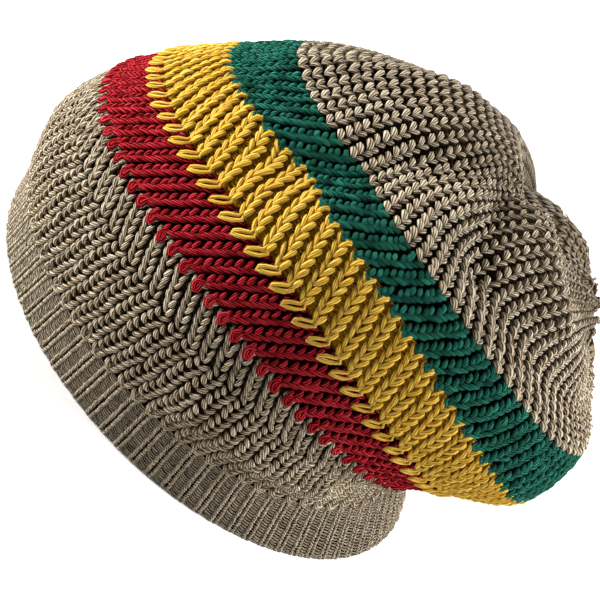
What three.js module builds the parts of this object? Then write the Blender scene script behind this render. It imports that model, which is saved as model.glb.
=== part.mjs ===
import * as THREE from 'three';

// Knit tam: a hollow tube of racked ribs in seven colour sections, drawn in to a gather.
// Millimetres, +Z up. The origin is the middle of the rim, on the surface that the rim rests on.
// X runs from the front (-X) to the slouching back (+X), and -Y is the side turned to the viewer.

// Size of the rim opening, over the knit
const rimLength = 188;
const rimWidth = 169;

// Height of each section, measured along the knit from the rim to the gather
const bandHeight = 23;
const lowerBodyHeight = 34;
const upperBodyHeight = 18;
const redHeight = 24;
const yellowHeight = 27;
const greenHeight = 24;
const crownHeight = 140;

// The knit itself
const ribCount = 76;
const ribDepth = 1.4;
const bandRibDepth = 0.9;
const wall = 3.6;
const sectionGap = 0.4;

// The gather at the end of the crown: pleats that start part of the way up and fade close to the gather
const pleatCount = 13;
const pleatDepth = 1.6;
const gatherRadius = 3;
const pleatStart = crownHeight * 0.55;
const gatherCalm = crownHeight * 0.12;
const ribFade = gatherCalm * 2;

// Columns and rows of the faceted walls
const columnsPerRib = 2;
const innerColumns = 38;
const crownRows = 12;
const sectionRows = 2;

const knitHeight =
  bandHeight + lowerBodyHeight + upperBodyHeight + redHeight + yellowHeight + greenHeight + crownHeight;

// Columns: node, height, rib relief, ribs that it leans to the side, rows of facets, colour
const sections = [
  section('ribbed_band', bandHeight, bandRibDepth, 1.2, sectionRows, 0x9c8b73),
  section('lower_body', lowerBodyHeight, ribDepth, 1.8, sectionRows, 0xa29379),
  section('upper_body', upperBodyHeight, ribDepth, -2.2, sectionRows, 0x9a8b72),
  section('red_stripe', redHeight, ribDepth, 1.9, sectionRows, 0x9a1220),
  section('yellow_stripe', yellowHeight, ribDepth, -3.0, sectionRows, 0xc79a2c),
  section('green_stripe', greenHeight, ribDepth, 1.0, sectionRows, 0x12654a),
  section('crown', crownHeight, ribDepth, 0.0, crownRows, 0xa69780),
];
const roughness = 0.9;
const metalness = 0.0;

function section(name, height, relief, lean, rows, color) {
  return { name, height, relief, lean, rows, color };
}

let stackedHeight = 0;
let stackedLean = 0;
for (const part of sections) {
  part.start = stackedHeight;
  part.startLean = stackedLean;
  stackedHeight += part.height;
  stackedLean += part.lean;
}
const [band, lowerBody, upperBody, red, yellow, green, crown] = sections;

// Rings round the hat, each through its front, back, near and far points.
// Columns: section, share of its height, front [x, z], back [x, z], near [y, z], far [y, z].
// x is a share of rimLength, y of rimWidth and z of knitHeight.
const rings = [
  ring(band, 0.00, [-0.510, 0.000], [0.500, 0.000], [-0.500, 0.000], [0.500, 0.000]),
  ring(band, 1.00, [-0.537, 0.076], [0.431, 0.066], [-0.509, 0.079], [0.473, 0.066]),
  ring(lowerBody, 0.50, [-0.563, 0.128], [0.415, 0.081], [-0.524, 0.141], [0.485, 0.097]),
  ring(lowerBody, 1.00, [-0.552, 0.172], [0.425, 0.094], [-0.518, 0.200], [0.503, 0.124]),
  ring(upperBody, 1.00, [-0.532, 0.206], [0.468, 0.107], [-0.485, 0.253], [0.521, 0.159]),
  ring(red, 1.00, [-0.482, 0.261], [0.532, 0.121], [-0.420, 0.328], [0.527, 0.193]),
  ring(yellow, 1.00, [-0.405, 0.324], [0.638, 0.166], [-0.337, 0.397], [0.527, 0.234]),
  ring(green, 1.00, [-0.314, 0.388], [0.649, 0.259], [-0.260, 0.436], [0.515, 0.290]),
  ring(crown, 0.18, [-0.191, 0.441], [0.580, 0.293], [-0.142, 0.462], [0.497, 0.324]),
  ring(crown, 0.39, [-0.021, 0.472], [0.543, 0.303], [0.036, 0.472], [0.485, 0.334]),
  ring(crown, 0.61, [0.168, 0.470], [0.516, 0.303], [0.154, 0.445], [0.467, 0.332]),
  ring(crown, 0.80, [0.319, 0.400], [0.500, 0.307], [0.260, 0.403], [0.438, 0.315]),
  ring(crown, 0.93, [0.415, 0.358], [0.489, 0.314], [0.331, 0.359], [0.402, 0.317]),
  ring(crown, 1.00, [0.452, 0.334], [0.463, 0.328], [0.361, 0.331], [0.373, 0.324]),
];

function ring(part, share, front, back, near, far) {
  return {
    height: part.start + part.height * share,
    middleX: rimLength * (back[0] + front[0]) / 2,
    halfX: rimLength * (back[0] - front[0]) / 2,
    middleY: rimWidth * (far[0] + near[0]) / 2,
    halfY: rimWidth * (far[0] - near[0]) / 2,
    middleZ: knitHeight * (front[1] + back[1] + near[1] + far[1]) / 4,
    frontZ: knitHeight * (front[1] - back[1]) / 2,
    nearZ: knitHeight * (near[1] - far[1]) / 2,
    archZ: knitHeight * (front[1] + back[1] - near[1] - far[1]) / 4,
  };
}
const ringColumns = ['middleX', 'halfX', 'middleY', 'halfY', 'middleZ', 'frontZ', 'nearZ', 'archZ'];

// Folds of the slack knit: a ridge (out above zero) or a hollow (below zero) along a line on the wall. It can
// also slide the knit towards the gather. Turns go once round the hat from the front by the near side.
// Columns: name, from [turn, height], to [turn, height], width, out, slide. Lengths are shares of knitHeight.
const folds = [
  fold('hollow across green and crown', [0.163, 0.43], [0.172, 0.67], 0.045, -0.026, 0.022),
  fold('ridge along the top of the crown', [0.050, 0.52], [0.040, 0.70], 0.035, 0.012, 0),
  fold('notch over the top', [-0.130, 0.84], [0.170, 0.815], 0.034, -0.046, 0),
  fold('end of the notch on the far side', [-0.290, 0.73], [-0.210, 0.79], 0.034, -0.036, 0),
  fold('notch between the lobes', [0.178, 0.76], [0.275, 0.61], 0.026, -0.026, 0),
  fold('ridge beside the notch', [0.215, 0.76], [0.345, 0.69], 0.026, 0.019, 0),
  fold('second lobe', [0.165, 0.82], [0.160, 0.90], 0.026, 0.010, 0),
  fold('crease below the second lobe', [0.190, 0.80], [0.245, 0.90], 0.018, -0.014, 0),
  fold('third lobe', [0.300, 0.88], [0.320, 0.93], 0.026, 0.008, 0),
  fold('body roll over the band', [0.290, 0.14], [0.400, 0.14], 0.036, 0.016, 0),
  fold('slack roll on the far side', [0.620, 0.20], [0.850, 0.20], 0.040, 0.017, 0),
  fold('first drape on the far side', [0.600, 0.36], [0.610, 0.72], 0.040, 0.012, 0),
  fold('hollow between the drapes', [0.680, 0.38], [0.690, 0.70], 0.034, -0.014, 0),
  fold('second drape on the far side', [0.770, 0.36], [0.780, 0.60], 0.040, 0.012, 0),
];

function fold(name, from, to, width, out, slide) {
  return { name, from, to, width: width * knitHeight, out: out * knitHeight, slide: slide * knitHeight };
}

// Cubic through the ring values, so that the wall runs smoothly from ring to ring
const slopes = rings.map((here, i) => {
  const before = rings[Math.max(i - 1, 0)];
  const after = rings[Math.min(i + 1, rings.length - 1)];
  return Object.fromEntries(
    ringColumns.map((column) => [column, (after[column] - before[column]) / (after.height - before.height)]),
  );
});

function ringAt(height) {
  let i = rings.findIndex((one) => one.height > height) - 1;
  if (i < 0) i = height <= rings[0].height ? 0 : rings.length - 2;
  const span = rings[i + 1].height - rings[i].height;
  const t = (height - rings[i].height) / span;
  const here = 2 * t ** 3 - 3 * t ** 2 + 1;
  const leave = (t ** 3 - 2 * t ** 2 + t) * span;
  const there = 3 * t ** 2 - 2 * t ** 3;
  const arrive = (t ** 3 - t ** 2) * span;
  const value = (column) => {
    const low = here * rings[i][column] + leave * slopes[i][column];
    const high = there * rings[i + 1][column] + arrive * slopes[i + 1][column];
    return low + high;
  };
  return Object.fromEntries(ringColumns.map((column) => [column, value(column)]));
}

// Point of the smooth outer wall, before folds and ribs
function smoothPoint(turn, height) {
  const r = ringAt(height);
  const forward = Math.cos(2 * Math.PI * turn);
  const toward = Math.sin(2 * Math.PI * turn);
  const arch = Math.cos(4 * Math.PI * turn);
  return new THREE.Vector3(
    r.middleX - r.halfX * forward,
    r.middleY - r.halfY * toward,
    r.middleZ + r.frontZ * forward + r.nearZ * toward + r.archZ * arch,
  );
}

// Outward direction of the smooth wall
const probeTurn = 0.002;
const probeHeight = 0.6;
function outward(turn, height) {
  const low = Math.max(height - probeHeight, 0);
  const high = Math.min(height + probeHeight, knitHeight);
  const around = smoothPoint(turn + probeTurn, height).sub(smoothPoint(turn - probeTurn, height));
  const along = smoothPoint(turn, high).sub(smoothPoint(turn, low));
  return around.cross(along).normalize();
}

// Distance on the wall from a spot to a fold's line
function foldReach({ from, to }, turn, height) {
  const size = ringAt(height);
  const round = Math.PI * (size.halfX + size.halfY);
  const lineX = (to[0] - from[0]) * round;
  const lineY = (to[1] - from[1]) * knitHeight;
  let aside = turn - from[0];
  aside -= Math.round(aside - (to[0] - from[0]) / 2);
  const spotX = aside * round;
  const spotY = height - from[1] * knitHeight;
  const share = THREE.MathUtils.clamp((spotX * lineX + spotY * lineY) / (lineX ** 2 + lineY ** 2), 0, 1);
  return Math.hypot(spotX - share * lineX, spotY - share * lineY);
}

// How far folds and pleats push the wall out and slide it along. The rim and the gather's end stay in place.
function foldShift(turn, height) {
  let out = 0;
  let slide = 0;
  for (const one of folds) {
    const strength = Math.exp(-((foldReach(one, turn, height) / one.width) ** 2));
    out += one.out * strength;
    slide += one.slide * strength;
  }
  const pleatsIn = THREE.MathUtils.smoothstep(height, crown.start + pleatStart, knitHeight - gatherCalm);
  out += pleatDepth * pleatsIn * Math.cos(2 * Math.PI * pleatCount * turn);
  const leaving = THREE.MathUtils.smoothstep(height, 0, bandHeight);
  const closing = 1 - THREE.MathUtils.smoothstep(height, knitHeight - gatherCalm, knitHeight);
  return { out: out * leaving * closing, slide: slide * leaving * closing };
}

// Point of the wall at a depth under the folded surface
function wallPoint(turn, height, depth) {
  const { out, slide } = foldShift(turn, height);
  return smoothPoint(turn, height + slide).addScaledVector(outward(turn, height + slide), out - depth);
}

// The ribs lean to one side in one section and back in the next
function leanAt(part, height) {
  const share = (height - part.start) / part.height;
  return (part.startLean + part.lean * share) / ribCount;
}

// Ribs fade where the gather draws them together
function reliefAt(part, height) {
  return part.relief * (1 - THREE.MathUtils.smoothstep(height, knitHeight - ribFade, knitHeight));
}

function outerRow(part, height) {
  const columns = ribCount * columnsPerRib;
  const points = [];
  for (let i = 0; i < columns; i += 1) {
    const depth = i % columnsPerRib === 0 ? 0 : reliefAt(part, height);
    points.push(wallPoint(i / columns + leanAt(part, height), height, depth));
  }
  return points;
}

function innerRow(part, height) {
  const points = [];
  for (let i = 0; i < innerColumns; i += 1) {
    points.push(wallPoint(i / innerColumns + leanAt(part, height), height, wall));
  }
  return points;
}

// The rim is cut flat, so both of its edges lie on the ground
function layFlat(points) {
  for (const point of points) point.z = 0;
}

// Builds a closed wall from rows of points
function closedWall(outerRows, innerRows, closes) {
  const points = [];
  const faces = [];
  const place = (row) => row.map((point) => points.push(point) - 1);
  const outer = outerRows.map(place);
  const inner = innerRows.map(place);
  const strip = (low, high, flip) => {
    for (let i = 0; i < low.length; i += 1) {
      const j = (i + 1) % low.length;
      addFace(faces, [low[i], low[j], high[j]], flip);
      addFace(faces, [low[i], high[j], high[i]], flip);
    }
  };
  for (let k = 0; k + 1 < outer.length; k += 1) strip(outer[k], outer[k + 1], false);
  for (let k = 0; k + 1 < inner.length; k += 1) strip(inner[k], inner[k + 1], true);
  joinEdges(faces, outer[0], inner[0], true);
  if (closes) {
    closeEnd(points, faces, outer.at(-1), false);
    closeEnd(points, faces, inner.at(-1), true);
  } else {
    joinEdges(faces, outer.at(-1), inner.at(-1), false);
  }
  const geometry = new THREE.BufferGeometry().setFromPoints(points);
  geometry.setIndex(faces.flat());
  geometry.computeVertexNormals();
  return geometry;
}

function addFace(faces, [a, b, c], flip) {
  faces.push(flip ? [a, c, b] : [a, b, c]);
}

// End face of a wall, between its outer edge and its coarser inner edge
function joinEdges(faces, outer, inner, flip) {
  const ratio = outer.length / inner.length;
  const across = (i) => inner[Math.floor((i + ratio / 2) / ratio) % inner.length];
  for (let i = 0; i < outer.length; i += 1) {
    const after = outer[(i + 1) % outer.length];
    addFace(faces, [outer[i], after, across(i)], flip);
    if (across(i + 1) !== across(i)) addFace(faces, [after, across(i + 1), across(i)], flip);
  }
}

// Draws a row together to one point in its middle
function closeEnd(points, faces, row, flip) {
  const sum = new THREE.Vector3();
  for (const index of row) sum.add(points[index]);
  const tip = points.push(sum.divideScalar(row.length)) - 1;
  for (let i = 0; i < row.length; i += 1) addFace(faces, [row[i], row[(i + 1) % row.length], tip], flip);
}

// Height along the knit at which the crown has narrowed to a given radius, found by halving
const nearEnough = 0.05;
function heightOfRadius(radius) {
  let low = crown.start;
  let high = knitHeight;
  while (high - low > nearEnough) {
    const middle = (low + high) / 2;
    const size = ringAt(middle);
    if ((size.halfX + size.halfY) / 2 > radius) low = middle;
    else high = middle;
  }
  return low;
}

function sectionGeometry(part) {
  const closes = part === crown;
  const start = part === band ? 0 : part.start + sectionGap / 2;
  const outerEnd = closes ? heightOfRadius(gatherRadius) : part.start + part.height - sectionGap / 2;
  const innerEnd = closes ? heightOfRadius(gatherRadius + wall) : outerEnd;
  const outerRows = [];
  const innerRows = [];
  for (let k = 0; k <= part.rows; k += 1) {
    outerRows.push(outerRow(part, THREE.MathUtils.lerp(start, outerEnd, k / part.rows)));
    innerRows.push(innerRow(part, THREE.MathUtils.lerp(start, innerEnd, k / part.rows)));
  }
  if (part === band) {
    layFlat(outerRows[0]);
    layFlat(innerRows[0]);
  }
  return closedWall(outerRows, innerRows, closes);
}

const group = new THREE.Group();
for (const part of sections) {
  const material = new THREE.MeshStandardMaterial({ color: part.color, roughness, metalness });
  const mesh = new THREE.Mesh(sectionGeometry(part), material);
  mesh.name = part.name;
  group.add(mesh);
}

export default group;
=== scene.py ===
import math
import bpy
import numpy as np
from mathutils import Matrix, Vector


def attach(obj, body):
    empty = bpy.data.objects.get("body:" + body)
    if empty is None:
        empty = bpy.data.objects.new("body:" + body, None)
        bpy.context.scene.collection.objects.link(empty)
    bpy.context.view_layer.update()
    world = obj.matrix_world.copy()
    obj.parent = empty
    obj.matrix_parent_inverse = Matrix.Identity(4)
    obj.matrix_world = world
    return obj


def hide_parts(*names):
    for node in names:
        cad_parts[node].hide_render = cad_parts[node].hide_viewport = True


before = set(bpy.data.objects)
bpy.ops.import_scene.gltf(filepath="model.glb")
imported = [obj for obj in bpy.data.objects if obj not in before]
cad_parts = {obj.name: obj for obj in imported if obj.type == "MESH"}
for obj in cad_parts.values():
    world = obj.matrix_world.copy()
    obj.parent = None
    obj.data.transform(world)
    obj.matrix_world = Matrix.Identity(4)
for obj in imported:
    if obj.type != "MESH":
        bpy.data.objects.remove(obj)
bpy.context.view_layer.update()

# The hat's own sizes in metres, the same as the solids. Heights run along the knit from rim to gather.
# Pleats start at a share of the crown's height, and the knit calms over its last share before the gather.
hat = dict(
    rimLength=0.188, rimWidth=0.169,
    ribs=76, wall=0.0036,
    pleats=13, pleatDepth=0.0016, pleatStart=0.55, gatherCalm=0.12,
)

# Sections from the rim up: height along the knit, ribs leaned to the side, courses of stitches.
# Early is a share of the height and how many ribs the knit has leaned by then.
sections = {
    "band": dict(node="ribbed_band", height=0.023, lean=1.2, courses=21),
    "lowerBody": dict(node="lower_body", height=0.034, lean=1.35, early=(0.41, 1.0), courses=11),
    "upperBody": dict(node="upper_body", height=0.018, lean=-1.75, courses=6),
    "red": dict(node="red_stripe", height=0.024, lean=1.9, courses=9),
    "yellow": dict(node="yellow_stripe", height=0.027, lean=-3.0, courses=7),
    "green": dict(node="green_stripe", height=0.024, lean=1.0, courses=9),
    "crown": dict(node="crown", height=0.140, lean=0.0, courses=35),
}
stackedHeight, stackedLean = 0.0, 0.0
for part in sections.values():
    part["start"], part["startLean"] = stackedHeight, stackedLean
    stackedHeight += part["height"]
    stackedLean += part["lean"]
knitHeight = stackedHeight

# Rings round the hat: section, share of its height, then x, z of the front and back points and
# y, z of the near and far points. x is a share of rimLength, y of rimWidth and z of knitHeight.
rings = [
    ("band", 0.00, (-0.510, 0.000), (0.500, 0.000), (-0.500, 0.000), (0.500, 0.000)),
    ("band", 1.00, (-0.537, 0.076), (0.431, 0.066), (-0.509, 0.079), (0.473, 0.066)),
    ("lowerBody", 0.50, (-0.563, 0.128), (0.415, 0.081), (-0.524, 0.141), (0.485, 0.097)),
    ("lowerBody", 1.00, (-0.552, 0.172), (0.425, 0.094), (-0.518, 0.200), (0.503, 0.124)),
    ("upperBody", 1.00, (-0.532, 0.206), (0.468, 0.107), (-0.485, 0.253), (0.521, 0.159)),
    ("red", 1.00, (-0.482, 0.261), (0.532, 0.121), (-0.420, 0.328), (0.527, 0.193)),
    ("yellow", 1.00, (-0.405, 0.324), (0.638, 0.166), (-0.337, 0.397), (0.527, 0.234)),
    ("green", 1.00, (-0.314, 0.388), (0.649, 0.259), (-0.260, 0.436), (0.515, 0.290)),
    ("crown", 0.18, (-0.191, 0.441), (0.580, 0.293), (-0.142, 0.462), (0.497, 0.324)),
    ("crown", 0.39, (-0.021, 0.472), (0.543, 0.303), (0.036, 0.472), (0.485, 0.334)),
    ("crown", 0.61, (0.168, 0.470), (0.516, 0.303), (0.154, 0.445), (0.467, 0.332)),
    ("crown", 0.80, (0.319, 0.400), (0.500, 0.307), (0.260, 0.403), (0.438, 0.315)),
    ("crown", 0.93, (0.415, 0.358), (0.489, 0.314), (0.331, 0.359), (0.402, 0.317)),
    ("crown", 1.00, (0.452, 0.334), (0.463, 0.328), (0.361, 0.331), (0.373, 0.324)),
]

# Folds of the slack knit: from (turn, height), to (turn, height), width, out, slide. Turns go once
# round from the front by the near side, and the rest are shares of knitHeight. Out below zero is a
# hollow, and slide is how far the fold draws the knit towards the gather.
folds = [
    ((0.163, 0.43), (0.172, 0.67), 0.045, -0.026, 0.022),  # hollow across green and crown
    ((0.050, 0.52), (0.040, 0.70), 0.035, 0.012, 0.0),      # ridge along the top of the crown
    ((-0.130, 0.84), (0.170, 0.815), 0.034, -0.046, 0.0),   # notch over the top
    ((-0.290, 0.73), (-0.210, 0.79), 0.034, -0.036, 0.0),   # end of the notch on the far side
    ((0.178, 0.76), (0.275, 0.61), 0.026, -0.026, 0.0),     # notch between the lobes
    ((0.215, 0.76), (0.345, 0.69), 0.026, 0.019, 0.0),      # ridge beside the notch
    ((0.165, 0.82), (0.160, 0.90), 0.026, 0.010, 0.0),      # second lobe
    ((0.190, 0.80), (0.245, 0.90), 0.018, -0.014, 0.0),     # crease below the second lobe
    ((0.300, 0.88), (0.320, 0.93), 0.026, 0.008, 0.0),      # third lobe
    ((0.290, 0.14), (0.400, 0.14), 0.036, 0.016, 0.0),      # body roll over the band
    ((0.620, 0.20), (0.850, 0.20), 0.040, 0.017, 0.0),      # slack roll on the far side
    ((0.600, 0.36), (0.610, 0.72), 0.040, 0.012, 0.0),      # first drape on the far side
    ((0.680, 0.38), (0.690, 0.70), 0.034, -0.014, 0.0),     # hollow between the drapes
    ((0.770, 0.36), (0.780, 0.60), 0.040, 0.012, 0.0),      # second drape on the far side
]


def ringValues():
    heights, values = [], []
    for part, share, front, back, near, far in rings:
        heights.append(sections[part]["start"] + sections[part]["height"] * share)
        values.append((
            hat["rimLength"] * (back[0] + front[0]) / 2,
            hat["rimLength"] * (back[0] - front[0]) / 2,
            hat["rimWidth"] * (far[0] + near[0]) / 2,
            hat["rimWidth"] * (far[0] - near[0]) / 2,
            knitHeight * (front[1] + back[1] + near[1] + far[1]) / 4,
            knitHeight * (front[1] - back[1]) / 2,
            knitHeight * (near[1] - far[1]) / 2,
            knitHeight * (front[1] + back[1] - near[1] - far[1]) / 4,
        ))
    return np.array(heights), np.array(values)


ringHeights, ringTable = ringValues()
before = np.maximum(np.arange(len(rings)) - 1, 0)
after = np.minimum(np.arange(len(rings)) + 1, len(rings) - 1)
ringSlopes = (ringTable[after] - ringTable[before]) / (ringHeights[after] - ringHeights[before])[:, None]


def ringAt(height):
    i = np.clip(np.searchsorted(ringHeights, height, side="right") - 1, 0, len(rings) - 2)
    span = ringHeights[i + 1] - ringHeights[i]
    t = ((height - ringHeights[i]) / span)[..., None]
    span = span[..., None]
    return (
        (2 * t**3 - 3 * t**2 + 1) * ringTable[i] + (t**3 - 2 * t**2 + t) * span * ringSlopes[i]
        + (3 * t**2 - 2 * t**3) * ringTable[i + 1] + (t**3 - t**2) * span * ringSlopes[i + 1]
    )


def smoothPoint(turn, height):
    turn, height = np.broadcast_arrays(turn, height)
    middleX, halfX, middleY, halfY, middleZ, frontZ, nearZ, archZ = np.moveaxis(ringAt(height), -1, 0)
    forward, toward = np.cos(2 * np.pi * turn), np.sin(2 * np.pi * turn)
    return np.stack([
        middleX - halfX * forward,
        middleY - halfY * toward,
        middleZ + frontZ * forward + nearZ * toward + archZ * np.cos(4 * np.pi * turn),
    ], -1)


def unit(v):
    return v / np.maximum(np.linalg.norm(v, axis=-1, keepdims=True), 1e-12)


def ease(x, low, high):
    t = np.clip((x - low) / (high - low), 0, 1)
    return t * t * (3 - 2 * t)


def foldShift(turn, height):
    # how far the folds push the knit out and slide it along
    size = ringAt(height)
    around = np.pi * (size[..., 1] + size[..., 3])
    shape = np.broadcast(turn, height).shape
    out, along = np.zeros(shape), np.zeros(shape)
    for start, end, width, push, slide in folds:
        lineX, lineY = (end[0] - start[0]) * around, (end[1] - start[1]) * knitHeight
        aside = turn - start[0]
        aside = aside - np.round(aside - (end[0] - start[0]) / 2)
        spotX, spotY = aside * around, height - start[1] * knitHeight
        share = np.clip((spotX * lineX + spotY * lineY) / (lineX**2 + lineY**2), 0, 1)
        reach = np.hypot(spotX - share * lineX, spotY - share * lineY)
        strength = knitHeight * np.exp(-(reach / (width * knitHeight)) ** 2)
        out += push * strength
        along += slide * strength
    crown = sections["crown"]
    calm = knitHeight - crown["height"] * hat["gatherCalm"]
    pleats = ease(height, crown["start"] + crown["height"] * hat["pleatStart"], calm)
    out += hat["pleatDepth"] * pleats * np.cos(2 * np.pi * hat["pleats"] * turn)
    steady = ease(height, 0, sections["band"]["height"]) * (1 - ease(height, calm, knitHeight))
    return out * steady, along * steady


# The folded wall is worked out once on a fine grid, and everything that sits on it reads the grid
grid = dict(turns=1216, heights=900)


def wallGrid():
    turn = (np.arange(grid["turns"]) / grid["turns"])[None, :]
    height = np.linspace(0, knitHeight, grid["heights"])[:, None]
    out, along = foldShift(turn, height)
    smooth = smoothPoint(turn, height + along)

    def facing(points):
        aroundStep = np.roll(points, -1, 1) - np.roll(points, 1, 1)
        return unit(np.cross(aroundStep, np.gradient(points, axis=0)))

    folded = smooth + facing(smooth) * out[..., None]
    return folded, facing(folded)


gridPoints, gridNormals = wallGrid()
print("wall worked out")


def onWall(turn, height, out):
    # a point and the outward direction of the folded wall
    x = (turn % 1.0) * grid["turns"]
    y = np.clip(height / knitHeight, 0, 1) * (grid["heights"] - 1)
    i, j = np.floor(x).astype(int), np.clip(np.floor(y).astype(int), 0, grid["heights"] - 2)
    fx, fy = (x - i)[..., None], (y - j)[..., None]
    i, nextI = i % grid["turns"], (i + 1) % grid["turns"]

    def blend(table):
        low = table[j, i] * (1 - fx) + table[j, nextI] * fx
        high = table[j + 1, i] * (1 - fx) + table[j + 1, nextI] * fx
        return low * (1 - fy) + high * fy

    normal = unit(blend(gridNormals))
    return blend(gridPoints) + normal * np.asarray(out)[..., None], normal


def leanSteps():
    heights, leaned = [0], [0]
    for part in sections.values():
        for share, ribs in (part.get("early", (0.5, part["lean"] / 2)), (1, part["lean"])):
            heights.append(part["start"] + part["height"] * share)
            leaned.append(part["startLean"] + ribs)
    return np.array(heights), np.array(leaned) / hat["ribs"]


leanHeights, leanTurns = leanSteps()

# In the crown the ribs fan out from the near side, and lean towards the front there
fan = dict(
    most=0.45, middle=0.32, reached=0.6,
    lean=0.025, leanMiddle=0.36, leanWidth=0.2, leanReached=0.2,
)

# Stitches are full size where ribs lie fullPitch apart, and shrink to the smallest share where they crowd
stitch = dict(fullPitch=0.0062, smallest=0.2)


def intoCrown(height, lead, share):
    crown = sections["crown"]
    return ease(height, crown["start"] - lead, crown["start"] + crown["height"] * share)


def ribTurn(rib, height):
    # where a rib lies: leaned to one side or the other, and fanned out in the crown
    turn = rib / hat["ribs"] + np.interp(height, leanHeights, leanTurns)
    aside = ((turn - fan["leanMiddle"] + 0.5) % 1 - 0.5) / fan["leanWidth"]
    lean = fan["lean"] * np.cos(np.clip(aside, -1, 1) * np.pi / 2) ** 2
    lean = lean * intoCrown(height, 0.005, fan["leanReached"])
    spread = fan["most"] * intoCrown(height, 0.01, fan["reached"])
    return turn - lean + spread * np.sin(2 * np.pi * (turn - fan["middle"])) / (2 * np.pi)


def stitchScale(turn, height, ribStep=1):
    size = ringAt(height)
    spread = fan["most"] * intoCrown(height, 0.01, fan["reached"])
    wider = 1 + spread * np.cos(2 * np.pi * (turn - fan["middle"]))
    pitch = np.pi * (size[..., 1] + size[..., 3]) / hat["ribs"] * wider * ribStep
    return np.clip(pitch / stitch["fullPitch"], stitch["smallest"], 1)


class Value:
    # wraps a socket, so that sums of values add Math nodes
    def __init__(self, paint, socket):
        self.paint, self.socket = paint, socket

    def math(self, operation, *others):
        values = dict(enumerate((self, *others)))
        return self.paint.node("ShaderNodeMath", dict(operation=operation), values)

    def __add__(self, other):
        return self.math("ADD", other)

    def __sub__(self, other):
        return self.math("SUBTRACT", other)

    def __rsub__(self, other):
        return self.paint.number("SUBTRACT", other, self)

    def __mul__(self, other):
        return self.math("MULTIPLY", other)

    def __pow__(self, other):
        return self.math("POWER", other)

    __radd__ = __add__
    __rmul__ = __mul__

    def sine(self):
        return self.math("SINE")

    def clamped(self):
        return self.paint.node("ShaderNodeClamp", {}, {"Value": self})


class Paint:
    # one material and the nodes in it
    def __init__(self, name):
        self.material = bpy.data.materials.new(name)
        self.material.use_nodes = True
        self.tree = self.material.node_tree
        self.shader = self.tree.nodes["Principled BSDF"]

    def node(self, kind, settings, inputs, output=0):
        made = self.tree.nodes.new(kind)
        for key, value in settings.items():
            if key == "stops":
                ramp = made.color_ramp
                while len(ramp.elements) < len(value):
                    ramp.elements.new(1)
                for stop, (place, colour) in zip(ramp.elements, value):
                    stop.position, stop.color = place, (*colour, 1)
            else:
                setattr(made, key, value)
        self.fill(made, inputs)
        return Value(self, made.outputs[output])

    def fill(self, made, inputs):
        for key, value in inputs.items():
            if isinstance(value, Value):
                self.tree.links.new(value.socket, made.inputs[key])
            else:
                made.inputs[key].default_value = value

    def number(self, operation, first, second):
        return self.node("ShaderNodeMath", dict(operation=operation), {0: first, 1: second})

    def mix(self, amount, first, second):
        first, second = [v if isinstance(v, Value) else (*v, 1) for v in (first, second)]
        inputs = {0: amount, 6: first, 7: second}
        return self.node("ShaderNodeMix", dict(data_type="RGBA"), inputs, output=2)

    def attribute(self, name):
        return self.node("ShaderNodeAttribute", dict(attribute_name=name), {}, output="Fac")

    def finish(self, **sockets):
        for key, value in sockets.items():
            self.fill(self.shader, {key.replace("_", " "): value})
        return self.material


# What every strand's look shares: the streaks of its plies, painted as highlight and shade, loose fibres,
# and how much painted shade its roots get
strandLook = dict(
    ply=0.6, plyEdge=0.8, plyByTone=5.0,
    fibre=0.4, fibreAlong=1.6, fibreAround=13.0, fibreByTone=40.0, fibreScale=3.0, fibreRoughness=0.6,
    contrast=1.2, darker=0.2, baseStop=0.42,
    rootContrast=1.5, rootDarker=0.35, rootShade=0.4,
    bump=0.9, roughness=0.9, sheenRoughness=0.5,
)


def yarnMaterial(name, yarn):
    # plied yarn: streaks that wind round each strand, painted as highlight on the ply crests and shade
    # between them, loose fibres, and painted shade on the roots deep between the stitches
    look = strandLook
    paint = Paint(name)
    spot = paint.node("ShaderNodeUVMap", dict(uv_map="yarn"), {})
    along = paint.node("ShaderNodeSeparateXYZ", {}, {0: spot}, output="X")
    around = paint.node("ShaderNodeSeparateXYZ", {}, {0: spot}, output="Y")
    tone = paint.attribute("tone")
    depth = paint.attribute("depth")
    winding = around * yarn["plies"] + along * yarn["twist"] + tone * look["plyByTone"]
    ply = ((winding * (2 * math.pi)).sine() * 0.5 + 0.5) ** look["plyEdge"]
    fibreSpot = {
        0: along * look["fibreAlong"],
        1: around * look["fibreAround"],
        2: tone * look["fibreByTone"],
    }
    fibre = paint.node("ShaderNodeTexNoise", {}, {
        "Vector": paint.node("ShaderNodeCombineXYZ", {}, fibreSpot),
        "Scale": look["fibreScale"], "Detail": 3.0, "Roughness": look["fibreRoughness"],
    })
    # the ply streaks in colour: painted shade in the troughs between plies and painted highlight on their
    # crests
    relief = ply * look["ply"] + fibre * look["fibre"]
    light = relief * look["contrast"] - look["darker"] + (tone - 0.5) * yarn["patchy"]
    stops = [(0.0, yarn["paintedShade"]), (look["baseStop"], yarn["base"]), (1.0, yarn["bright"])]
    colour = paint.node("ShaderNodeValToRGB", dict(stops=stops), {0: light.clamped()}, output="Color")
    # painted shade: strands that lie deep in the wall blend towards a darker share of the wall colour
    shade = (depth * look["rootContrast"] - look["rootDarker"]).clamped()
    colour = paint.mix(shade, tuple(c * look["rootShade"] for c in yarn["wall"]), colour)
    raised = {"Strength": look["bump"], "Distance": yarn["relief"], "Height": relief}
    bump = paint.node("ShaderNodeBump", {}, raised)
    paint.shader.inputs["Specular IOR Level"].default_value = yarn["shine"]
    paint.shader.inputs["Sheen Weight"].default_value = yarn["sheen"]
    paint.shader.inputs["Sheen Roughness"].default_value = look["sheenRoughness"]
    roughness = look["roughness"] - relief * yarn["gloss"]
    return paint.finish(Base_Color=colour, Roughness=roughness, Normal=bump)


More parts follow.
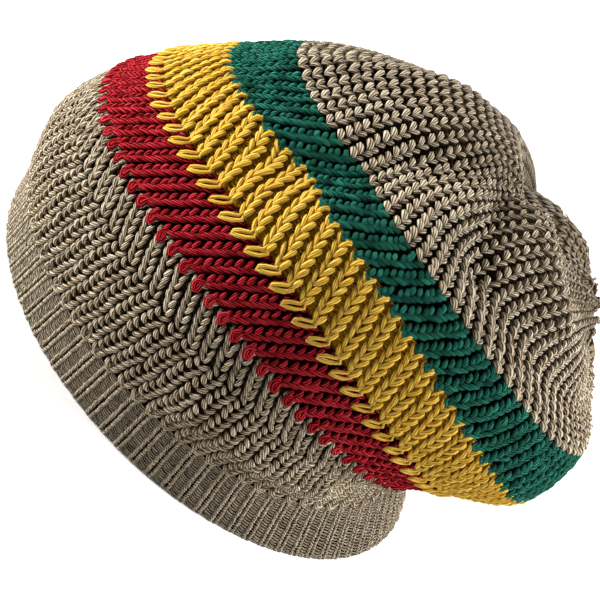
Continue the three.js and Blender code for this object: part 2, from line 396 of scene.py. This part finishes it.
# What every wall's look shares: rows of loops, bowed by their columns, with a fine grain
wallLook = dict(
    loops=0.6, loopsPerCourse=2, bow=0.35, columns=0.25, grain=0.15, grainScale=9.0,
    darkStop=0.15, lightStop=0.9, gutterDark=0.35,
    relief=0.0008, shine=0.05, roughness=0.95, gloss=0.1,
)


def wallMaterial(name, yarn):
    # the back of the knit, seen in the gutters and inside the hat: rows of small loops in columns, with
    # painted shade between the loops. In the gutters its colour is painted shade, taken from the yarn's
    # wall colour.
    look = wallLook
    paint = Paint(name)
    spot = paint.node("ShaderNodeUVMap", dict(uv_map="yarn"), {})
    rib = paint.node("ShaderNodeSeparateXYZ", {}, {0: spot}, output="X")
    course = paint.node("ShaderNodeSeparateXYZ", {}, {0: spot}, output="Y")
    column = (rib * (2 * math.pi)).sine().math("ABSOLUTE")
    rows = course * look["loopsPerCourse"] + column * look["bow"]
    loops = (rows * (2 * math.pi)).sine() * 0.5 + 0.5
    grainInputs = {"Vector": spot, "Scale": look["grainScale"], "Detail": 3.0}
    grain = paint.node("ShaderNodeTexNoise", {}, grainInputs)
    relief = loops * look["loops"] + column * look["columns"] + grain * look["grain"]
    inside = paint.attribute("depth")
    gutterShadeFade = paint.attribute("tone")

    def shaded(dark, bright):
        stops = [(look["darkStop"], dark), (look["lightStop"], bright)]
        return paint.node("ShaderNodeValToRGB", dict(stops=stops), {0: relief}, output="Color")

    # painted gutter shade: the wall colour, darkened further between the loops
    gutter = shaded(tuple(c * look["gutterDark"] for c in yarn["wall"]), yarn["wall"])
    back = shaded(yarn["paintedShade"], yarn["base"])
    # the painted gutter shade on the outer face gives way to the back colour where the knit is packed; the
    # inner face takes the back colour
    colour = paint.mix(inside, paint.mix(gutterShadeFade, gutter, back), back)
    raised = {"Strength": 1.0, "Distance": look["relief"], "Height": relief}
    bump = paint.node("ShaderNodeBump", {}, raised)
    paint.shader.inputs["Specular IOR Level"].default_value = look["shine"]
    roughness = look["roughness"] - relief * look["gloss"]
    return paint.finish(Base_Color=colour, Roughness=roughness, Normal=bump)


def meshPiece(name, points, quads, uvs, tone, depth, material, node, slot):
    # one piece of the knit, all quads, with its yarn coordinates, tone and depth for the material
    mesh = bpy.data.meshes.new(name)
    mesh.vertices.add(len(points))
    mesh.vertices.foreach_set("co", points.astype(np.float32).ravel())
    mesh.loops.add(quads.size)
    mesh.loops.foreach_set("vertex_index", quads.astype(np.int32).ravel())
    mesh.polygons.add(len(quads))
    mesh.polygons.foreach_set("loop_start", np.arange(0, quads.size, 4, dtype=np.int32))
    mesh.update(calc_edges=True)
    mesh.polygons.foreach_set("use_smooth", np.ones(len(quads), dtype=bool))
    mesh.uv_layers.new(name="yarn")
    mesh.uv_layers["yarn"].data.foreach_set("uv", uvs.astype(np.float32).ravel())
    for label, values in (("tone", tone), ("depth", depth)):
        layer = mesh.attributes.new(label, "FLOAT", "POINT")
        layer.data.foreach_set("value", values.astype(np.float32).ravel())
    mesh.materials.append(material)
    piece = bpy.data.objects.new(name, mesh)
    bpy.context.scene.collection.objects.link(piece)
    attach(piece, "root")
    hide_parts(node)


rng = np.random.default_rng(7)
strand = dict(
    # depth between deepest and highest sets the painted shade on a strand's roots
    deepest=-0.0020, highest=0.0006,  # strands this far out of the wall are darkest and lightest
    flat=0.9,                         # thickness beside width
    acrossShake=0.6, outShake=2.0,    # beside the shake along the rib
    thickShake=0.06, toneSpread=0.16,
    last=0.995,                       # share of the knit's height where the last strands end
)


def strandTubes(centre, normal, radius, sides, tone, depth):
    # tubes round many centre lines at once: centre and normal are (strands, points, 3)
    count, points, _ = centre.shape
    tangent = unit(np.gradient(centre, axis=1))
    across = unit(np.cross(tangent, normal))
    lift = np.cross(across, tangent)
    angle = 2 * np.pi * (np.arange(sides) + 0.25) / sides
    ring = across[:, :, None] * np.cos(angle)[:, None]
    ring = ring + lift[:, :, None] * np.sin(angle)[:, None] * strand["flat"]
    places = centre[:, :, None] + ring * radius[:, :, None, None]
    index = np.arange(count * points * sides).reshape(count, points, sides)
    nextSide = np.roll(index, -1, 2)
    quads = np.stack([index[:, :-1], nextSide[:, :-1], nextSide[:, 1:], index[:, 1:]], -1).reshape(-1, 4)
    along = np.broadcast_to(np.linspace(0, 1, points)[None, :, None], index.shape)
    side = np.broadcast_to(np.arange(sides)[None, None, :] / sides, index.shape)
    sideUp = side + 1 / sides
    low, high = along[:, :-1], along[:, 1:]
    uvs = np.stack([
        np.stack([low, side[:, :-1]], -1), np.stack([low, sideUp[:, :-1]], -1),
        np.stack([high, sideUp[:, :-1]], -1), np.stack([high, side[:, :-1]], -1),
    ], 3).reshape(-1, 2)
    tones = np.broadcast_to(tone[:, None, None], index.shape).ravel()
    depths = np.broadcast_to(depth[:, :, None], index.shape).ravel()
    return places.reshape(-1, 3), quads, uvs, tones, depths


def joined(tubes):
    # several lots of tubes as one mesh
    points, quads, uvs, tones, depths = zip(*tubes)
    offsets = np.cumsum([0] + [len(lot) for lot in points[:-1]])
    quads = [lot + offset for lot, offset in zip(quads, offsets)]
    return [np.concatenate(lots) for lots in (points, quads, uvs, tones, depths)]


def layStrands(part, template, ribs, courses, sides, jitter=0.05, ribStep=1):
    # lays one strand of a stitch on every rib and course. The template's rows are: across the rib in
    # rib pitches, along it in courses, out of the wall and radius, both in millimetres.
    shape = np.array(template, float)
    rib, course = (x.ravel() for x in np.meshgrid(ribs, courses, indexing="ij"))
    count = len(rib)
    shake = rng.normal(0, jitter, (count, 1, 3))
    across = shape[None, :, 0] * ribStep + shake[:, :, 0] * strand["acrossShake"]
    along = shape[None, :, 1] + shake[:, :, 1]
    pitch = part["height"] / part["courses"]
    height = part["start"] + (course[:, None] + 0.5 + along) * pitch
    height = np.minimum(height, knitHeight * strand["last"])
    turn = ribTurn(rib[:, None] + across, height)
    scale = stitchScale(turn, height, ribStep)
    out = (shape[None, :, 2] + shake[:, :, 2] * strand["outShake"]) / 1000 * scale
    centre, normal = onWall(turn, height, out)
    thick = 1 + rng.normal(0, strand["thickShake"], (count, 1))
    radius = shape[None, :, 3] / 1000 * thick * scale
    tone = np.clip(rng.normal(0.5, strand["toneSpread"], count), 0, 1)
    depth = (out - strand["deepest"]) / (strand["highest"] - strand["deepest"])
    depth = np.clip(depth, 0, 1)
    return strandTubes(centre, normal, radius, sides, tone, depth)


wallShape = dict(
    columnsPerRib=4, rows=6, crownRows=44,
    out=-0.0021, bandOut=-0.0015,      # outer face, in from the wall that the strands follow
    gap=0.0002, rimLift=0.0001,        # kept from the next section and from the floor
    crownInnerEnd=0.955,               # share of the crown where its inner face ends
    packedFrom=0.62, packedTo=0.76, packed=0.9,
)


def wallPiece(name, part, out, material, slot, rows):
    # the wall behind the stitches: outer face, inner face and both edges in one closed skin
    perRib = wallShape["columnsPerRib"]
    columns = hat["ribs"] * perRib
    start = 0 if part is sections["band"] else part["start"] + wallShape["gap"]
    end = innerEnd = part["start"] + part["height"] - wallShape["gap"]
    if part is sections["crown"]:
        innerEnd = part["start"] + part["height"] * wallShape["crownInnerEnd"]
    rib = np.arange(columns)[None, :] * hat["ribs"] / columns
    outerHeight = np.repeat(np.linspace(start, end, rows + 1)[:, None], columns, axis=1)
    innerHeight = np.repeat(np.linspace(start, innerEnd, rows + 1)[:, None], columns, axis=1)
    outerTurn, innerTurn = ribTurn(rib, outerHeight), ribTurn(rib, innerHeight)
    outer, _ = onWall(outerTurn, outerHeight, out * stitchScale(outerTurn, outerHeight))
    inner, _ = onWall(innerTurn, innerHeight, np.full(innerHeight.shape, -hat["wall"]))
    if part is sections["band"]:
        outer[0, :, 2] = inner[0, :, 2] = wallShape["rimLift"]
    loop = np.concatenate([outer, inner[::-1]])
    loopHeight = np.concatenate([outerHeight, innerHeight[::-1]])
    pitch = part["height"] / part["courses"]
    courseAt = loopHeight[:, 0] / pitch
    isInner = np.concatenate([np.zeros(rows + 1), np.ones(rows + 1)])
    ringCount = len(loop)
    index = np.arange(ringCount * columns).reshape(ringCount, columns)
    nextSide = np.roll(index, -1, 1)
    low, high = np.arange(columns) / perRib, np.arange(columns) / perRib + 1 / perRib
    quads, uvs = [], []
    for ring in range(ringCount):
        nextRing = (ring + 1) % ringCount
        quads.append(np.stack([index[ring], nextSide[ring], nextSide[nextRing], index[nextRing]], -1))
        here, there = low * 0 + courseAt[ring], low * 0 + courseAt[nextRing]
        uvs.append(np.stack([
            np.stack([low, here], -1), np.stack([high, here], -1),
            np.stack([high, there], -1), np.stack([low, there], -1),
        ], 1))
    # near the gather the yarn is packed so closely that the painted gutter shade fades into the back
    # colour there; the tone attribute carries the fade
    packed = ease(loopHeight, knitHeight * wallShape["packedFrom"], knitHeight * wallShape["packedTo"])
    tone = packed.ravel() * wallShape["packed"]
    depth = np.repeat(isInner, columns)
    meshPiece(name, loop.reshape(-1, 3), np.concatenate(quads), np.concatenate(uvs).reshape(-1, 2),
              tone, depth, material, part["node"], slot)


# Yarns: the painted shade colour, the body colour and the painted highlight colour of the lit fibres, and
# the colour of the wall behind, which is painted shade in the gutters. Plies and twist are the streaks
# round a strand, and patchy is how much strands differ.
tanYarn = dict(
    paintedShade=(0.045, 0.022, 0.004), base=(0.200, 0.146, 0.080), bright=(0.59, 0.520, 0.405),
    wall=(0.040, 0.020, 0.005), plies=6, twist=1.0, relief=0.0005,
    gloss=0.15, shine=0.12, sheen=0.05, patchy=0.4,
)
# the tan yarn painted lighter on the crown as painted light, with a darker wall colour for deeper painted
# gutter shade
crownPaintedLightYarn = dict(
    tanYarn, base=(0.260, 0.195, 0.115), bright=(0.68, 0.605, 0.480), wall=(0.018, 0.010, 0.003),
)
# the tan yarn painted lighter on the band as painted light, with a darker wall colour for its painted
# gutter shade
bandPaintedLightYarn = dict(tanYarn, base=(0.330, 0.260, 0.165), wall=(0.022, 0.011, 0.003), plies=4)
redYarn = dict(
    paintedShade=(0.035, 0.000, 0.000), base=(0.165, 0.001, 0.003), bright=(0.50, 0.040, 0.055),
    wall=(0.030, 0.000, 0.000), plies=6, twist=1.0, relief=0.0004,
    gloss=0.1, shine=0.03, sheen=0.0, patchy=0.35,
)
yellowYarn = dict(
    paintedShade=(0.34, 0.145, 0.001), base=(0.46, 0.275, 0.022), bright=(0.63, 0.46, 0.125),
    wall=(0.60, 0.27, 0.005), plies=6, twist=0.8, relief=0.0004,
    gloss=0.1, shine=0.05, sheen=0.0, patchy=0.3,
)
# a darker, more orange copy of the yellow yarn for the rungs: painted shade for their place in the gutters
paintedShadeYellowYarn = dict(
    yellowYarn, paintedShade=(0.22, 0.08, 0.001), base=(0.42, 0.21, 0.010), bright=(0.66, 0.42, 0.06),
)
greenYarn = dict(
    paintedShade=(0.000, 0.008, 0.005), base=(0.001, 0.050, 0.032), bright=(0.032, 0.240, 0.155),
    wall=(0.0, 0.005, 0.003), plies=8, twist=1.8, relief=0.0006,
    gloss=0.15, shine=0.07, sheen=0.0, patchy=0.7,
)
allRibs = np.arange(hat["ribs"])


def courseList(part, first=0, last=None):
    return np.arange(first, part["courses"] if last is None else last)


# Ribbed band: two rows of small stitches on each rib, and fine bowed rungs across the gutter
def buildBand():
    part = sections["band"]
    thick = yarnMaterial("bandPaintedLightYarn", bandPaintedLightYarn)
    lower = [(0.04, -0.52, -0.20, 0.24), (0.10, -0.20, 0.32, 0.50),
             (0.18, 0.16, 0.34, 0.52), (0.27, 0.50, -0.25, 0.24)]
    upper = [(-across, along, out, radius) for across, along, out, radius in lower]
    tubes = [layStrands(part, leg, allRibs, courseList(part), 5, jitter=0.02) for leg in (lower, upper)]
    meshPiece("bandStitches", *joined(tubes), thick, part["node"], "band_yarn")
    bow = [(0.24, 0.55, -0.30, 0.24), (0.36, 0.05, 0.05, 0.33), (0.52, -0.25, 0.12, 0.34),
           (0.66, -0.30, 0.05, 0.33), (0.80, 0.05, -0.30, 0.24)]
    rungs = layStrands(part, bow, allRibs, courseList(part), 4, jitter=0.03)
    meshPiece("bandRungs", *rungs, thick, part["node"], "band_yarn")
    behind = wallMaterial("bandWallYarn", bandPaintedLightYarn)
    wallPiece("bandWall", part, wallShape["bandOut"], behind, "band_yarn", wallShape["rows"])
    print("band made")


def buildSection(label, yarn, slot, legs, rung, hooks=(), rungsPerCourse=1, rungYarn=None, jitter=0.05):
    part = sections[label]
    thick = yarnMaterial(label + "Yarn", yarn)
    thin = yarnMaterial(label + "RungYarn", rungYarn or yarn)
    tubes = [layStrands(part, leg, allRibs, courseList(part), 5, jitter) for leg in legs]
    tubes += [layStrands(part, leaf, allRibs, np.array([0]), 5) for leaf in hooks]
    meshPiece(label + "Stitches", *joined(tubes), thick, part["node"], slot)
    rungCourses = np.arange(0, part["courses"], 1 / rungsPerCourse)
    rungs = layStrands(part, rung, allRibs, rungCourses, 3, jitter=0.05)
    meshPiece(label + "Rungs", *rungs, thin, part["node"], slot)
    behind = wallMaterial(label + "WallYarn", yarn)
    wallPiece(label + "Wall", part, wallShape["out"], behind, slot, wallShape["rows"])
    print(label, "made")


# Stitch legs, each from the point of the V towards the rim out to its end under the next course
bodyLow = [(0.02, -0.58, -0.6, 0.50), (0.11, -0.42, 0.05, 0.90), (0.22, -0.14, 0.35, 1.08),
           (0.31, 0.14, 0.25, 1.08), (0.36, 0.36, -0.25, 0.80), (0.37, 0.50, -1.1, 0.35)]
bodyHigh = [(0.00, -0.50, -0.6, 0.45), (-0.09, -0.40, 0.20, 0.90), (-0.21, -0.20, 0.60, 1.15),
            (-0.33, 0.04, 0.60, 1.20), (-0.41, 0.25, 0.1, 0.92), (-0.44, 0.40, -0.9, 0.40)]
redLow = [(0.00, -0.72, -0.3, 0.50), (0.06, -0.48, 0.25, 0.88), (0.15, -0.12, 0.45, 1.06),
          (0.26, 0.24, 0.35, 1.06), (0.34, 0.54, -0.1, 0.84), (0.38, 0.76, -1.1, 0.40)]
redHigh = [(0.04, -0.70, 0.0, 0.50), (-0.03, -0.46, 0.45, 0.90), (-0.13, -0.10, 0.65, 1.08),
           (-0.25, 0.25, 0.55, 1.12), (-0.34, 0.54, 0.1, 0.88), (-0.38, 0.74, -0.9, 0.40)]
longLow = [(0.03, -0.62, -0.5, 0.42), (0.10, -0.40, 0.20, 0.82), (0.19, -0.05, 0.55, 1.06),
           (0.27, 0.35, 0.50, 1.06), (0.33, 0.66, 0.05, 0.80), (0.34, 0.88, -0.9, 0.36)]
longHigh = [(-0.03, -0.60, -0.6, 0.42), (-0.09, -0.40, 0.10, 0.78), (-0.18, -0.05, 0.40, 1.00),
            (-0.27, 0.30, 0.35, 1.00), (-0.33, 0.60, -0.1, 0.74), (-0.35, 0.82, -0.9, 0.36)]
fatLow = [(-0.06, -0.76, -0.3, 0.50), (-0.01, -0.50, 0.35, 0.88), (0.09, -0.08, 0.70, 1.12),
          (0.20, 0.36, 0.90, 1.32), (0.28, 0.72, 0.60, 1.20), (0.31, 0.98, -0.6, 0.50)]
fatHigh = [(-0.02, -0.60, -0.6, 0.50), (-0.09, -0.38, 0.10, 0.86), (-0.17, -0.06, 0.40, 1.08),
           (-0.25, 0.28, 0.35, 1.10), (-0.30, 0.56, -0.1, 0.84), (-0.32, 0.76, -1.0, 0.42)]
crownLow = [(0.02, -0.52, -0.7, 0.50), (0.08, -0.36, 0.00, 0.85), (0.16, -0.12, 0.20, 1.08),
            (0.24, 0.12, 0.10, 1.16), (0.29, 0.31, -0.3, 0.98), (0.31, 0.44, -1.2, 0.50)]
crownHigh = [(0.06, -0.48, -0.7, 0.50), (0.00, -0.35, 0.25, 0.92), (-0.10, -0.16, 0.65, 1.28),
             (-0.22, 0.04, 0.75, 1.50), (-0.34, 0.22, 0.30, 1.32), (-0.40, 0.34, -0.9, 0.62)]
gutterRung = [(0.36, 0.2, -1.2, 0.28), (0.50, -0.05, -1.5, 0.28), (0.64, 0.1, -1.2, 0.28)]
goldRung = [(0.28, 0.12, -0.5, 0.36), (0.50, -0.02, -0.45, 0.42), (0.70, 0.12, -0.5, 0.36)]


# Hooks: points, where they start in courses, how blunt they are, and how they tuck in and thin at the ends
hookShape = dict(points=9, foot=0.3, blunt=1.5, tuck=1.2, thin=0.4)


def hook(reach, width, out, radius):
    # loop that starts a rib in a new colour and lies over the section below it
    foot, tuck, thin = hookShape["foot"], hookShape["tuck"], hookShape["thin"]
    leaf = []
    for step in np.linspace(-1, 1, hookShape["points"]):
        along = foot - (reach + foot) * (1 - abs(step) ** hookShape["blunt"])
        across = width * math.sin(math.pi * step)
        leaf.append((across, along, out - tuck * step**4, radius * (1 - thin * step**4)))
    return leaf


buildBand()
buildSection("lowerBody", tanYarn, "body_yarn", [bodyLow, bodyHigh], gutterRung,
             hooks=[hook(0.70, 0.22, 0.4, 1.05)])
buildSection("upperBody", tanYarn, "body_yarn", [longLow, longHigh], gutterRung,
             rungsPerCourse=3, jitter=0.07)
buildSection("red", redYarn, "red_yarn", [redLow, redHigh], gutterRung,
             hooks=[hook(1.5, 0.15, 1.2, 1.35)])
buildSection("yellow", yellowYarn, "yellow_yarn", [fatLow, fatHigh], goldRung,
             hooks=[hook(1.9, 0.20, 1.7, 0.88)], rungsPerCourse=4, rungYarn=paintedShadeYellowYarn)
buildSection("green", greenYarn, "green_yarn", [redLow, redHigh], gutterRung,
             hooks=[hook(0.9, 0.24, 0.8, 0.90), hook(0.4, 0.10, 0.7, 0.75)], jitter=0.07)


# Crown: the same ribs, joined in twos near the gather
def buildCrown():
    part = sections["crown"]
    thick = yarnMaterial("crownPaintedLightYarn", crownPaintedLightYarn)
    lots = [  # first and last course, ribs in a stitch, jitter
        ("crownLowStitches", 0, 12, 1, 0.05), ("crownMidStitches", 12, 21, 1, 0.05),
        ("crownHighStitches", 21, 29, 1, 0.025), ("crownTopStitches", 29, 34, 2, 0.025),
    ]
    for name, first, last, step, jitter in lots:
        ribs, courses = allRibs[::step], courseList(part, first, last)
        tubes = [layStrands(part, leg, ribs, courses, 5, jitter, step) for leg in (crownLow, crownHigh)]
        meshPiece(name, *joined(tubes), thick, part["node"], "body_yarn")
    rungs = layStrands(part, gutterRung, allRibs, courseList(part, 0, 21), 3, jitter=0.06)
    meshPiece("crownRungs", *rungs, thick, part["node"], "body_yarn")
    behind = wallMaterial("crownWallYarn", crownPaintedLightYarn)
    wallPiece("crownWall", part, wallShape["out"], behind, "body_yarn", wallShape["crownRows"])
    print("crown made")


buildCrown()

# Camera at the photo's angle: above the floor, and turned so that the rim leans as in the photo
shot = dict(
    elevation=33.6, turned=45.5, lens=1200, seesTo=60,
    frame=600, millimetresPerPixel=0.375, originPixel=(208.7, 359.2),
)


def placeCamera():
    elevation, turned = math.radians(shot["elevation"]), math.radians(shot["turned"])
    back = Vector((0, -math.cos(elevation), math.sin(elevation)))
    lift = Vector((0, math.sin(elevation), math.cos(elevation)))
    length = Vector((1, 0, 0))
    right = length * math.cos(turned) + lift * math.sin(turned)
    up = lift * math.cos(turned) - length * math.sin(turned)
    scale = shot["millimetresPerPixel"] / 1000
    middle = shot["frame"] / 2
    target = (right * (middle - shot["originPixel"][0]) + up * (shot["originPixel"][1] - middle)) * scale
    lens = bpy.data.cameras.new("photoCamera")
    lens.lens = shot["lens"]
    lens.clip_end = shot["seesTo"]
    distance = shot["frame"] * scale * shot["lens"] / lens.sensor_width
    camera = bpy.data.objects.new("photoCamera", lens)
    turn = Matrix((right, up, back)).transposed()
    camera.matrix_world = Matrix.Translation(target + back * distance) @ turn.to_4x4()
    bpy.context.scene.collection.objects.link(camera)
    bpy.context.scene.camera = camera
    return right, up, back


right, up, back = placeCamera()

# Floor, sky and lights: soft lights from the photo's upper left and from its right. A light's place is
# given as shares to the right, up and back, as the photo is seen.
studio = dict(
    floorSize=30, floorHeight=-0.0002, floorColour=(0.95, 0.95, 0.95, 1), sky=0.38,
    lightDistance=1.4, aimAt=(0.01, 0, 0.07),
    key=dict(power=50, size=0.6, place=(-0.6, 0.8, 0.25)),
    side=dict(power=38, size=0.7, place=(1.0, -0.2, 0.1)),
)


def areaLight(name, light):
    lamp = bpy.data.lights.new(name, "AREA")
    lamp.shape, lamp.size, lamp.energy = "DISK", light["size"], light["power"]
    holder = bpy.data.objects.new(name, lamp)
    direction = right * light["place"][0] + up * light["place"][1] + back * light["place"][2]
    holder.location = Vector(studio["aimAt"]) + direction.normalized() * studio["lightDistance"]
    holder.rotation_mode = "QUATERNION"
    holder.rotation_quaternion = direction.to_track_quat("Z", "Y")
    bpy.context.scene.collection.objects.link(holder)


def buildStudio():
    place = (0, 0, studio["floorHeight"])
    bpy.ops.mesh.primitive_plane_add(size=studio["floorSize"], location=place)
    floor = bpy.context.object
    floor.name = "floor"
    paint = Paint("paleFloor")
    floor.data.materials.append(paint.finish(Base_Color=studio["floorColour"], Roughness=0.9))
    world = bpy.data.worlds.new("studio")
    bpy.context.scene.world = world
    world.use_nodes = True
    sky = world.node_tree.nodes["Background"]
    sky.inputs["Color"].default_value = (1, 1, 1, 1)
    sky.inputs["Strength"].default_value = studio["sky"]
    areaLight("keyLight", studio["key"])
    areaLight("sideLight", studio["side"])
    bpy.context.scene.view_settings.view_transform = "Standard"
    print("studio made")


buildStudio()

knit = [o for o in bpy.data.objects if o.type == "MESH" and "yarn" in o.data.uv_layers]
print("triangles in the knit:", 2 * sum(len(o.data.polygons) for o in knit))
